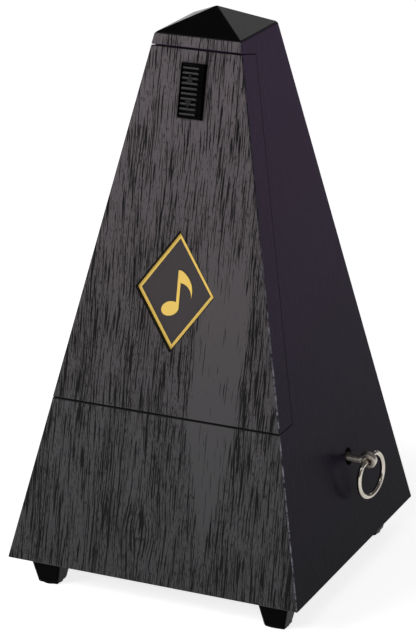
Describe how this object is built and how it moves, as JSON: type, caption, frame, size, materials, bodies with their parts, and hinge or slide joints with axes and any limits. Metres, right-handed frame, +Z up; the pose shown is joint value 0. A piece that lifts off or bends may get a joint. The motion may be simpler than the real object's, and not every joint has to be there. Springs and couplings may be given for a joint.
{
  "type": "metronome",
  "caption": "Wind-up pyramid metronome with a leaning lift-off front, latch slider, badge, wire-bow winding key and the verge movement inside.",
  "frame": {"origin": "on the floor, under the middle of the case and key taken together (the pyramid's own axis is 1.9 mm to -X)", "axes": "+Z up, the leaning front faces -Y, the winding key is on +X"},
  "size_m": [0.1219, 0.118, 0.218],
  "materials": {
    "grained_case": "wood-grained, satin",
    "cap_black": "polished",
    "floor_black": "moulded",
    "foot_black": "polished",
    "badge_ground": "satin",
    "gilt": "polished gilt",
    "latch_black": "moulded",
    "steel": "turned",
    "plate_steel": "zinc plated",
    "brass": "brushed",
    "spring_steel": "blued",
    "nickel": "nickel plated",
    "weight_alloy": "satin",
    "board_black": "satin",
    "scale_silver": "brushed, printed"
  },
  "bodies": {
    "case": {"case_shell": "grained_case", "top_cap": "cap_black", "base_plate": "floor_black", "foot_front_right": "foot_black", "foot_rear_right": "foot_black", "foot_front_left": "foot_black", "foot_rear_left": "foot_black", "foot_screws": "steel", "movement_screws": "steel", "right_plate": "plate_steel", "left_plate": "plate_steel", "plate_pillars": "steel", "pillar_nuts": "brass", "front_bridge": "plate_steel", "rear_cock": "brass", "crown_potence": "brass", "click_post": "steel", "inner_board": "board_black", "scale_plate": "scale_silver", "scale_screws": "steel", "rod_rest": "steel"},
    "cover": {"cover_panel": "grained_case", "badge_plate": "badge_ground", "badge_border": "gilt", "badge_note": "gilt"},
    "latch": {"latch_button": "latch_black", "latch_bolt": "steel"},
    "winding_key": {"winding_arbor": "steel", "ratchet_wheel": "steel", "key_shank": "nickel"},
    "bow": {"key_bow": "nickel"},
    "click": {"click_pawl": "steel", "click_spring": "spring_steel"},
    "barrel": {"great_wheel": "brass", "barrel_drum": "brass", "barrel_cover": "brass", "mainspring": "spring_steel"},
    "second": {"second_arbor": "steel", "second_pinion": "steel", "second_wheel": "brass"},
    "escape": {"escape_arbor": "steel", "escape_pinion": "steel", "crown_wheel": "brass"},
    "pendulum": {"verge_arbor": "steel", "front_pallet": "steel", "rear_pallet": "steel", "pendulum_collet": "brass", "pendulum_nut": "brass", "pendulum_rod": "nickel", "lower_bob": "brass"},
    "weight": {"sliding_weight": "weight_alloy", "weight_spring": "spring_steel"}
  },
  "joints": [
    {"name": "cover_tilt", "type": "hinge", "parent": "case", "child": "cover", "pos_m": [-0.0019, -0.04585, 0.074], "axis": [1, 0, 0], "range_deg": [0, 75]},
    {"name": "latch_slide", "type": "slide", "parent": "cover", "child": "latch", "axis": [0, 0.2075, 0.9782], "range_m": [0, 0.004]},
    {"name": "key_turn", "type": "hinge", "parent": "case", "child": "winding_key", "pos_m": [0.0381, 0.0083, 0.0468], "axis": [1, 0, 0], "continuous": true},
    {"name": "bow_swing", "type": "hinge", "parent": "winding_key", "child": "bow", "pos_m": [0.0577, 0.0083, 0.0468], "axis": [0.1736, 0.9366, 0.3043], "range_deg": [-170, 10]},
    {"name": "click_lift", "type": "hinge", "parent": "case", "child": "click", "pos_m": [0.0213, -0.00089, 0.05599], "axis": [1, 0, 0], "range_deg": [0, 12], "stiffness_Nm_per_rad": 0.004, "springref_deg": -17.19},
    {"name": "barrel_turn", "type": "hinge", "parent": "case", "child": "barrel", "pos_m": [0.0081, 0.0083, 0.0468], "axis": [1, 0, 0], "continuous": true},
    {"name": "second_turn", "type": "hinge", "parent": "case", "child": "second", "pos_m": [-0.0019, 0.00669, 0.07676], "axis": [1, 0, 0], "continuous": true},
    {"name": "escape_turn", "type": "hinge", "parent": "case", "child": "escape", "pos_m": [-0.0119, -0.00513, 0.0568], "axis": [1, 0, 0], "continuous": true},
    {"name": "pendulum_swing", "type": "hinge", "parent": "case", "child": "pendulum", "pos_m": [-0.0019, -0.03937, 0.06406], "axis": [0, 0.9782, -0.2075], "range_deg": [-5.5, 5.5]},
    {"name": "weight_slide", "type": "slide", "parent": "pendulum", "child": "weight", "axis": [0, 0.2075, 0.9782], "range_m": [-0.018, 0.052]}
  ],
  "couplings": [
    {"joint": "second_turn", "follows": "barrel_turn", "ratio": -4},
    {"joint": "escape_turn", "follows": "barrel_turn", "ratio": 19.2}
  ]
}
